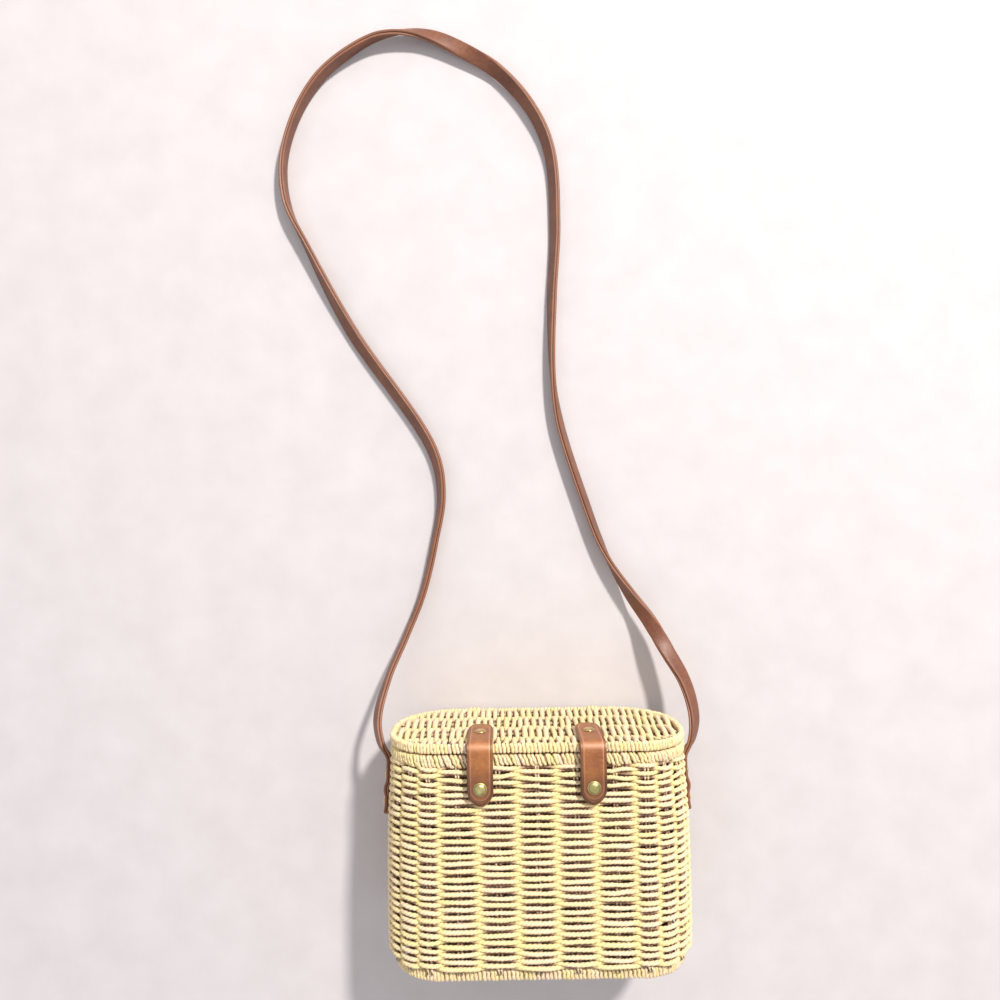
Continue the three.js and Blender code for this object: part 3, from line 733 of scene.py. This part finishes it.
def woven_panel(name, node, face_y, facing, inset, step):
    """Cords from back to front over and under pairs of stakes that lie along X."""
    soup = Soup()
    middle_y = face_y - facing * (CORD_RADIUS + PANEL_RISE)
    stakes = (np.arange(LID_STAKES) - (LID_STAKES - 1) / 2) * LID_COLUMN
    rows = int(2 * (BODY_WIDTH / 2 - inset - PANEL_MARGIN) / PANEL_PITCH)
    for row in range(rows):
        x = (row - (rows - 1) / 2) * PANEL_PITCH
        back, front = span_z(x, inset)
        count = max(FEWEST_POINTS, int((front - back) / step))
        z = np.linspace(back, front, count)
        phase = (z - stakes[0]) / LID_COLUMN + row + rng.normal(0, PANEL_PHASE_CHANGE)
        swing = weave_swing(phase, PANEL_SHARPNESS)
        xs = x + smooth_random(count, SHORT_WAVE, PANEL_WANDER) + rng.normal(0, PANEL_ROW_SHIFT)
        centres = np.stack([xs, middle_y + facing * PANEL_RISE * swing, MIDDLE_Z + z], -1)
        up = np.broadcast_to(AXIS_Y, centres.shape)
        side = np.broadcast_to(AXIS_X, centres.shape)
        depth, cross = weave_shades(swing, PANEL_SHADE_FROM, PANEL_SHADE_SPAN)
        row_radius = CORD_RADIUS * (PANEL_CORD_SHARE + rng.normal(0, PANEL_RADIUS_CHANGE))
        radius = row_radius * (1 + smooth_random(count, PANEL_RADIUS_WAVE, PANEL_RADIUS_CHANGE))
        add_cord(soup, centres, up, side, radius, CORD_LAY, depth=depth, cross=PANEL_YELLOW * cross)
    for stake in stakes:
        for shift in STAKE_PAIR:
            reach = span_x(stake, inset)
            count = int(2 * reach / STAKE_STEP)
            zs = MIDDLE_Z + stake + shift + smooth_random(count, SHORT_WAVE, PANEL_STAKE_WANDER)
            centres = np.stack([np.linspace(-reach, reach, count), np.full(count, middle_y), zs], -1)
            up = np.broadcast_to(AXIS_Y, centres.shape)
            side = np.broadcast_to(AXIS_Z, centres.shape)
            add_cord(soup, centres, up, side, STAKE_RADIUS, STAKE_LAY,
                     sides=STAKE_SIDES, depth=PANEL_STAKE_SHADE)
    soup.build(name, straw, node)


woven_panel("lid_weave", "lid_panel", LID_WEAVE_TOP, 1, LID_WEAVE_INSET, LID_WEAVE_STEP)
woven_panel("base_weave", "basket_base", BASE_WEAVE_FOOT, -1, BASE_WEAVE_INSET, BASE_WEAVE_STEP)


# Hinge loops: three turns of cord round both rims
HINGE_X = 48.0
HINGE_TURNS = (-3.1, 0.0, 3.1)
HINGE_RADIUS = 1.6
HINGE_LAY = 7.0
HINGE_POINTS = 40
HINGE_SQUARENESS = 0.35
HINGE_WAVE = 6
HINGE_WANDER = 0.15
HINGE_YELLOW = 0.5
HINGE_OUTER_Z = RIM_INSET + 0.9
HINGE_INNER_Z = RIM_INSET + LID_RIM_WIDTH - 1.4
HINGE_LOW_Y = RIM_Y + 0.8
HINGE_HIGH_Y = LID_TOP_Y - 0.6


def hinge_loop(side, x):
    soup = Soup()
    turn = np.linspace(0, 2 * math.pi, HINGE_POINTS, endpoint=False)
    width = HINGE_INNER_Z - HINGE_OUTER_Z
    depth, rise, away = section_path(turn, width, HINGE_HIGH_Y - HINGE_LOW_Y, HINGE_SQUARENESS)
    first = np.stack([np.zeros(HINGE_POINTS), away[:, 1], away[:, 0]], -1)
    across = np.broadcast_to(AXIS_X, first.shape)
    for shift in HINGE_TURNS:
        xs = x + shift + smooth_random(HINGE_POINTS, HINGE_WAVE, HINGE_WANDER)
        centres = np.stack([xs, HINGE_LOW_Y + rise, HINGE_OUTER_Z + depth], -1)
        add_cord(soup, centres, first, across, HINGE_RADIUS, HINGE_LAY, closed=True, cross=HINGE_YELLOW)
    soup.build("hinge_cords_" + side, straw, "hinge_loop_" + side)


hinge_loop("left", -HINGE_X)
hinge_loop("right", HINGE_X)


# Closure tabs and snap patches: a rim of rounded edge and crease round a slightly raised middle
CORNER_POINTS = 9
SIDE_POINTS = 34
TIP_POINTS = 14
CROWN = 0.03
# A paler band at a tab's bend, stretched leather and a painted highlight
BEND_STRETCH_AND_HIGHLIGHT = 0.75
BEND_SPREAD = 1.4
PALE_BAND_ARC_SHARE = 0.6
# Painted shade round the snap
SNAP_SHADE = 0.55
SNAP_SHADE_SPREAD = 12.0
NOWHERE = -99.0

TAB_INNER_Y = LID_TOP_Y + GAP
TAB_FACE_Y = TAB_INNER_Y + TAB_THICKNESS
TAB_END_Y = LID_TOP_Y + TAB_THICKNESS - TAB_DROP
PATCH_FOOT_Y = TAB_END_Y - PATCH_BELOW_TAB
PATCH_BACK_Z = BODY_DEPTH - inset_at(PATCH_FOOT_Y) + GAP
STUD_FACE_Z = PATCH_BACK_Z + PATCH_THICKNESS + GAP
TAB_INNER_Z = STUD_FACE_Z + WASHER + GAP + WASHER + GAP
TAB_FLAT = TAB_INNER_Z - TAB_BEND - (BODY_DEPTH - TAB_ON_LID)
TAB_ARC = TAB_BEND * math.pi / 2
SNAP_Y = LID_TOP_Y - SNAP_BELOW_TOP
LID_RIVET_Z = BODY_DEPTH - LID_RIVET_FROM_FRONT
LID_STACK = TAB_FACE_Y - LID_PANEL_TOP + LID_PANEL_THICKNESS + GAP


def along_tab(y):
    """How far along a flat tab the height y on its front run lies."""
    return TAB_FLAT + TAB_ARC + TAB_INNER_Y - TAB_BEND - y


def leather_outline(inset, length, corner, tip, tip_power):
    """Half of a tab's outline laid flat, from its back end to its tip, as (across, along)."""
    half = TAB_WIDTH / 2
    across, along = corner
    turn = np.radians(np.linspace(-90, 0, CORNER_POINTS))
    corner_points = np.stack([half - across + (across - inset) * np.cos(turn),
                              along + (along - inset) * np.sin(turn)], -1)
    side_along = np.linspace(along, length - tip, SIDE_POINTS)[1:-1]
    side_points = np.stack([np.full(len(side_along), half - inset), side_along], -1)
    turn = np.radians(np.linspace(0, 90, TIP_POINTS))
    tip_points = np.stack([(half - inset) * np.cos(turn) ** tip_power,
                           length - tip + (tip - inset) * np.sin(turn) ** tip_power], -1)
    return np.vstack([[(0, inset)], corner_points, side_points, tip_points])


def tab_shape(inset):
    return leather_outline(inset, along_tab(TAB_END_Y), TAB_CORNER, TAB_WIDTH / 2, 1.0)


def patch_shape(inset):
    return leather_outline(inset, PATCH_REACH, PATCH_CORNER, PATCH_TIP, PATCH_TIP_POWER)


def edge_profile(t):
    """Rows of inset, height, paler tint and darker tint, from under leather t thick, round its edge to its
    middle. The edge and border are darker, the crease groove darker as painted shade, and the groove's inner
    shoulder paler as a painted highlight.
    """
    return [
        (0.5, 0.0, 0.0, 0.6), (0.0, 0.35, 0.0, 0.65), (0.0, t - 0.6, 0.0, 0.6),
        (0.25, t - 0.2, 0.0, 0.5), (0.7, t - 0.02, 0.0, 0.3), (1.3, t - 0.06, 0.0, 0.35),
        (1.7, t - 0.3, 0.0, 0.6), (2.05, t - 0.06, 0.65, 0.0), (2.5, t + 0.05, 0.35, 0.0),
        (3.3, t + 0.08, 0.0, 0.0),
    ]


def add_leather(soup, shape, thickness, place, bend_at=NOWHERE, snap_at=NOWHERE):
    """Leather from half of its outline, mirrored. It has a paler band at its bend, partly stretched leather
    and partly a painted highlight, and painted shade round its snap.
    """
    profile = edge_profile(thickness)
    right = []
    for inset, height, _, _ in profile:
        flat = shape(inset)
        right.append(np.column_stack([flat, np.full(len(flat), height)]))
    top = right[-1] * [0, 1, 1] + [0, 0, CROWN]
    under = right[0] * [0, 1, 1]
    left = [ring * [-1, 1, 1] for ring in reversed(right)]
    rings = np.stack([under, *right, top, *left], 1)
    rub = [0.0, *(p[2] for p in profile), 0.0, *(p[2] for p in reversed(profile))]
    crease = [0.0, *(p[3] for p in profile), 0.0, *(p[3] for p in reversed(profile))]
    rows, columns, _ = rings.shape
    along = rings[..., 1]
    # Paler band at the bend, partly a painted highlight, and painted shade round the snap
    stretch_and_highlight_at_bend = BEND_STRETCH_AND_HIGHLIGHT * np.exp(-((along - bend_at) / BEND_SPREAD) ** 2)
    shade_at_snap = SNAP_SHADE * np.exp(-((along - snap_at) / SNAP_SHADE_SPREAD) ** 2)
    soup.add(place(rings.reshape(-1, 3)), grid_faces(rows, columns),
             rub=np.clip(np.tile(rub, (rows, 1)) + stretch_and_highlight_at_bend, 0, 1).reshape(-1),
             crease=np.clip(np.tile(crease, (rows, 1)) + shade_at_snap, 0, 1).reshape(-1))


def tab_placer(x):
    """Bends a flat tab over the lid's front edge and down the front."""
    def place(points):
        across, along, height = points.T
        angle = np.clip((along - TAB_FLAT) / TAB_BEND, 0, math.pi / 2)
        on_lid = np.minimum(along, TAB_FLAT)
        down = np.maximum(along - TAB_FLAT - TAB_ARC, 0)
        reach = TAB_BEND + height
        y = TAB_INNER_Y - TAB_BEND + reach * np.cos(angle) - down
        z = BODY_DEPTH - TAB_ON_LID + on_lid + reach * np.sin(angle)
        return np.column_stack([x + across, y, z])
    return place


def patch_placer(x):
    """Lays a flat patch on the wall's front, with its tip down."""
    def place(points):
        across, along, height = points.T
        return np.column_stack([x + across, PATCH_FOOT_Y + PATCH_HEIGHT - along, PATCH_BACK_Z + height])
    return place


def build_tab(side, x):
    soup = Soup()
    add_leather(soup, tab_shape, TAB_THICKNESS, tab_placer(x),
                bend_at=TAB_FLAT + TAB_ARC * PALE_BAND_ARC_SHARE, snap_at=along_tab(SNAP_Y))
    soup.build("tab_leather_" + side, tab_leather, "closure_tab_" + side)


def build_patch(side, x):
    soup = Soup()
    add_leather(soup, patch_shape, PATCH_THICKNESS, patch_placer(x))
    soup.build("patch_leather_" + side, tab_leather, "snap_patch_" + side)


# Turned brass: rivets, snap caps and studs
LATHE_SIDES = 36
ON_AXIS = 0.001


def add_lathe(soup, profile, at, axis):
    """A turned piece: profile rows are radius, height along the axis, brighter wear and brown tarnish."""
    axis = np.asarray(axis, float)
    off_axis = [0.3, 0.5, 0.8]
    first = np.cross(axis, off_axis)
    first /= np.linalg.norm(first)
    second = np.cross(axis, first)
    turn = np.arange(LATHE_SIDES) / LATHE_SIDES * 2 * math.pi
    ring = np.cos(turn)[:, None] * first + np.sin(turn)[:, None] * second
    rows = np.asarray(profile, float)
    points = np.asarray(at, float) + rows[:, None, 1:2] * axis + rows[:, None, :1] * ring[None]
    soup.add(points.reshape(-1, 3), grid_faces(len(rows), LATHE_SIDES),
             rub=np.repeat(rows[:, 2], LATHE_SIDES), crease=np.repeat(rows[:, 3], LATHE_SIDES))


def rivet_profile(head, height, reach):
    """A domed head with a rolled lip on a shank, and its washer."""
    r = head / 2
    washer = WASHER_WIDTH / 2
    return [
        (ON_AXIS, height, 0.0, 0.0), (r * 0.3, height * 0.96, 0.0, 0.0), (r * 0.55, height * 0.84, 0.0, 0.0),
        (r * 0.72, height * 0.66, 0.1, 0.0), (r * 0.84, height * 0.40, 0.0, 0.9),
        (r * 0.92, height * 0.42, 0.7, 0.0), (r * 0.99, height * 0.28, 0.8, 0.0),
        (r, 0.05, 0.2, 0.6), (r * 0.9, 0.0, 0.0, 1.0),
        (SHANK_RADIUS, 0.0, 0.0, 1.0), (SHANK_RADIUS, -reach, 0.0, 1.0),
        (washer, -reach, 0.2, 0.3), (washer, -reach - WASHER, 0.3, 0.0),
        (ON_AXIS, -reach - WASHER, 0.1, 0.0),
    ]


def build_rivet(node, material, head, height, reach, at, axis):
    soup = Soup()
    add_lathe(soup, rivet_profile(head, height, reach), at, axis)
    soup.build(node + "_turned", material, node)


for side_name, tab_x in (("left", TAB_SHIFT - TAB_SPACING / 2), ("right", TAB_SHIFT + TAB_SPACING / 2)):
    build_tab(side_name, tab_x)
    build_patch(side_name, tab_x)
    build_rivet("tab_rivet_" + side_name, rivet_brass, RIVET_HEAD, RIVET_HEIGHT, LID_STACK,
                (tab_x, TAB_FACE_Y + HEAD_LIFT, LID_RIVET_Z), AXIS_Y)
    build_rivet("snap_cap_" + side_name, cap_brass, CAP_HEAD, CAP_HEIGHT, TAB_THICKNESS + GAP,
                (tab_x, SNAP_Y, TAB_INNER_Z + TAB_THICKNESS + HEAD_LIFT), AXIS_Z)
    build_rivet("snap_stud_" + side_name, cap_brass, STUD_HEAD, WASHER, STUD_REACH,
                (tab_x, SNAP_Y, STUD_FACE_Z), AXIS_Z)


# Shoulder strap of two layers of leather. Its route holds x, y and z in metres and its lean in degrees
STRAP_ROUTE = np.array([
    (0.1107, 0.0515, 0.0510, 0), (0.1112, 0.0558, 0.0510, 5), (0.1173, 0.0653, 0.0502, 25),
    (0.1207, 0.0786, 0.0465, 38), (0.1204, 0.0920, 0.0405, 42), (0.1160, 0.1087, 0.0330, 47),
    (0.1065, 0.1270, 0.0250, 64), (0.0934, 0.1513, 0.0170, 120), (0.0793, 0.1720, 0.0120, 149),
    (0.0650, 0.1960, 0.0080, 180), (0.0560, 0.2155, 0.0066, 198), (0.0454, 0.2455, 0.0062, 202),
    (0.0250, 0.3130, 0.0062, 200), (0.0200, 0.3535, 0.0062, 181), (0.0202, 0.4130, 0.0062, 160),
    (0.0236, 0.4735, 0.0062, 153), (0.0200, 0.5345, 0.0068, 151), (0.0058, 0.5685, 0.0076, 154),
    (-0.0217, 0.6000, 0.0075, 139), (-0.0482, 0.6173, 0.0066, 100), (-0.0754, 0.6297, 0.0072, 64),
    (-0.0974, 0.6330, 0.0080, 34), (-0.1194, 0.6295, 0.0084, 12), (-0.1446, 0.6160, 0.0082, 0),
    (-0.1676, 0.5965, 0.0078, -5), (-0.1865, 0.5670, 0.0068, -3), (-0.1974, 0.5300, 0.0062, -2),
    (-0.1950, 0.4950, 0.0062, -5), (-0.1793, 0.4595, 0.0062, 12), (-0.1442, 0.3905, 0.0062, 42),
    (-0.0794, 0.2920, 0.0062, 33), (-0.0724, 0.2557, 0.0062, 23), (-0.0780, 0.2182, 0.0062, 16),
    (-0.0883, 0.1756, 0.0076, 13), (-0.1008, 0.1438, 0.0140, 11), (-0.1144, 0.1118, 0.0270, 13),
    (-0.1212, 0.0830, 0.0415, 25), (-0.1172, 0.0656, 0.0493, 25), (-0.1112, 0.0564, 0.0510, 8),
    (-0.1107, 0.0515, 0.0510, 0),
])
SPAN_SAMPLES = 16
STRAP_STEP = 0.003
TAPER_TIP = 0.25


def centripetal(points, per_span):
    """A centripetal Catmull-Rom curve through points, sampled per_span times a span."""
    p = np.vstack([2 * points[0] - points[1], points, 2 * points[-1] - points[-2]])
    out = []
    for i in range(1, len(p) - 2):
        p0, p1, p2, p3 = p[i - 1:i + 3, :3]
        d0, d1, d2 = (max(np.linalg.norm(b - a) ** 0.5, 1e-4) for a, b in ((p0, p1), (p1, p2), (p2, p3)))
        t1 = ((p1 - p0) / d0 - (p2 - p0) / (d0 + d1) + (p2 - p1) / d1) * d1
        t2 = ((p2 - p1) / d1 - (p3 - p1) / (d1 + d2) + (p3 - p2) / d2) * d1
        cubic = 2 * p1 - 2 * p2 + t1 + t2
        square = -3 * p1 + 3 * p2 - 2 * t1 - t2
        for t in np.arange(per_span) / per_span:
            at = cubic * t ** 3 + square * t ** 2 + t1 * t + p1
            out.append([*at, p[i, 3] * (1 - t) + p[i + 1, 3] * t])
    out.append(p[-2])
    return np.array(out)


def resample(line, step):
    """The line at even steps."""
    lengths = np.concatenate([[0], np.cumsum(np.linalg.norm(np.diff(line[:, :3], axis=0), axis=1))])
    at = np.linspace(0, lengths[-1], int(round(lengths[-1] / step)) + 1)
    return np.stack([np.interp(at, lengths, line[:, k]) for k in range(line.shape[1])], -1)


def strap_section():
    """Rows of across, through, paler tint and darker tint: a face, an edge with its groove, and both again.
    The paler tint is a painted highlight on each layer's edge and on the shoulder beside the groove, the
    darker tint painted shade in the groove.
    """
    w = STRAP_WIDTH / 2
    t = STRAP_THICKNESS / 2
    face = [(-w + 0.9, t, 0.0, 0.0), (-w + 2.4, t + 0.05, 0.0, 0.0), (0.0, t + 0.1, 0.0, 0.0),
            (w - 2.4, t + 0.05, 0.0, 0.0), (w - 0.9, t, 0.0, 0.0)]
    # Painted highlight on the layer's edge and its shoulder, painted shade in the groove between the layers
    layer_edge = [(w - 0.25, t - 0.15, 0.15, 0.0), (w, t - 0.6, 0.2, 0.0), (w, 0.95, 0.3, 0.0),
                  (w - 0.15, 0.55, 0.75, 0.0), (w - 0.8, 0.12, 0.0, 0.9)]
    lower_edge = [(a, -b, rub, crease) for a, b, rub, crease in reversed(layer_edge)]
    half = face + layer_edge + lower_edge
    return np.array(half + [(-a, -b, rub, crease) for a, b, rub, crease in half])


def add_strap(soup, line, taper=0.0):
    """The strap along line, whose rows are x, y, z and lean in degrees. taper rounds its first end."""
    centres = line[:, :3]
    tangent = np.gradient(centres, axis=0)
    tangent /= np.linalg.norm(tangent, axis=1)[:, None]
    side = np.cross(AXIS_Z, tangent)
    side /= np.linalg.norm(side, axis=1)[:, None]
    lean = np.radians(line[:, 3])[:, None]
    width = np.cross(tangent, side) * np.cos(lean) + side * np.sin(lean)
    through = np.cross(tangent, width)
    section = strap_section()
    run = np.concatenate([[0], np.cumsum(np.linalg.norm(np.diff(centres, axis=0), axis=1))])
    full = np.ones(len(line)) if taper == 0 else np.sqrt(1 - (1 - np.clip(run / taper, 0, 1)) ** 2)
    across = section[None, :, 0] * (TAPER_TIP + (1 - TAPER_TIP) * full[:, None]) * (full > 0)[:, None]
    points = (centres[:, None, :] + across[..., None] * width[:, None, :]
              + (section[None, :, 1] * full[:, None])[..., None] * through[:, None, :])
    soup.add(points.reshape(-1, 3), grid_faces(len(line), len(section)),
             rub=np.tile(section[:, 2], len(line)), crease=np.tile(section[:, 3], len(line)))


strap_line = resample(centripetal(STRAP_ROUTE, SPAN_SAMPLES), STRAP_STEP)
strap_line[:, :3] /= MM
strap_soup = Soup()
add_strap(strap_soup, strap_line)
strap = strap_soup.build("shoulder_strap_leather", strap_leather, "shoulder_strap")

# Strap ends: share of the end's length from its foot, and how much of the full bulge it has there
END_BULGES = [(0, 0.9), (0.08, 0.35), (0.17, 0), (0.38, 0), (0.49, 0.85), (0.57, 0.85), (0.67, 0), (1, 0)]
END_TOP_Y = SEAM_Y - STRAP_END_TOP
END_FOOT_Y = END_TOP_Y - STRAP_END_LENGTH
END_LAP = 0.7
END_POINTS = 60
END_TAPER = 3.0
BULGE_WINDOW = 5
STRAP_Z = STRAP_ROUTE[0, 2] / MM


def end_inner_x(y):
    """Where a strap end's inner face lies, a gap off the wall."""
    return BODY_WIDTH / 2 - inset_at(y) + GAP


def strap_end_line(sign):
    """The strap end's middle line from its foot up, bulging out between its rivets."""
    share = np.linspace(0, 1, END_POINTS)
    bulge = np.interp(share, [p[0] for p in END_BULGES], [p[1] for p in END_BULGES])
    padded = np.pad(bulge, BULGE_WINDOW // 2, mode="edge")
    bulge = np.convolve(padded, np.ones(BULGE_WINDOW) / BULGE_WINDOW, "valid")
    y = np.linspace(END_FOOT_Y, END_TOP_Y + END_LAP, END_POINTS)
    x = end_inner_x(y) + STRAP_THICKNESS / 2 + STRAP_BULGE * bulge
    return np.stack([sign * x, y, np.full(END_POINTS, STRAP_Z), np.zeros(END_POINTS)], -1)


def build_strap_end(side, sign):
    soup = Soup()
    add_strap(soup, strap_end_line(sign), taper=END_TAPER)
    soup.build("strap_end_leather_" + side, strap_leather, "strap_end_" + side)


def build_strap_rivet(side, sign, level, y):
    wall_x = BODY_WIDTH / 2 - WALL_THICKNESS - inset_at(y)
    head_x = end_inner_x(y) + STRAP_THICKNESS + HEAD_LIFT
    build_rivet(f"strap_rivet_{side}_{level}", rivet_brass, STRAP_RIVET_HEAD, STRAP_RIVET_HEIGHT,
                head_x - wall_x + GAP, (sign * head_x, y, STRAP_Z), (sign, 0, 0))


for side_name, side_sign in (("left", -1), ("right", 1)):
    build_strap_end(side_name, side_sign)
    for level_name, drop in zip(("upper", "lower"), STRAP_RIVET_DROPS):
        build_strap_rivet(side_name, side_sign, level_name, SEAM_Y - drop)


# Floor and light, in metres
FLOOR_HALF = 4
FLOOR_DEEP = (0.55, 0.515, 0.515)
FLOOR_PALE = (0.59, 0.555, 0.555)
LIGHT_TARGET = (0, 0.1, 0)
floor_corners = [(-1, -1), (1, -1), (1, 1), (-1, 1)]
floor_mesh = bpy.data.meshes.new("floor")
floor_mesh.from_pydata([(x * FLOOR_HALF, y * FLOOR_HALF, 0) for x, y in floor_corners], [], [(0, 1, 2, 3)])
floor = bpy.data.objects.new("floor", floor_mesh)
bpy.context.scene.collection.objects.link(floor)
floor_material, floor_tree, floor_shader = new_material("pale_floor")
floor_cloud = remap(floor_tree, noise(floor_tree, object_place(floor_tree), scale=30.0), 0.3, 0.7)
floor_colour = mix(floor_tree, floor_cloud, FLOOR_DEEP, FLOOR_PALE)
floor_tree.links.new(floor_colour, floor_shader.inputs["Base Color"])
floor_shader.inputs["Roughness"].default_value = 0.9
floor_mesh.materials.append(floor_material)


def area_light(name, place, size, power, colour):
    """A round lamp that faces the bag."""
    data = bpy.data.lights.new(name, "AREA")
    data.shape = "DISK"
    data.size = size
    data.energy = power
    data.color = colour
    light = bpy.data.objects.new(name, data)
    light.location = place
    direction = np.array(LIGHT_TARGET) - np.array(place)
    tilt = math.acos(-direction[2] / np.linalg.norm(direction))
    light.rotation_euler = (tilt, 0, math.atan2(direction[1], direction[0]) - math.pi / 2)
    bpy.context.scene.collection.objects.link(light)


area_light("key", place=(1.1, 1.95, 2.12), size=0.28, power=112, colour=(1.0, 0.965, 0.93))
area_light("fill", place=(-0.6, -0.8, 1.8), size=1.4, power=3, colour=(0.93, 0.95, 1.0))
world = bpy.data.worlds.new("studio")
world.use_nodes = True
background = world.node_tree.nodes["Background"]
background.inputs["Color"].default_value = (0.96, 0.95, 0.98, 1)
background.inputs["Strength"].default_value = 0.72
bpy.context.scene.world = world
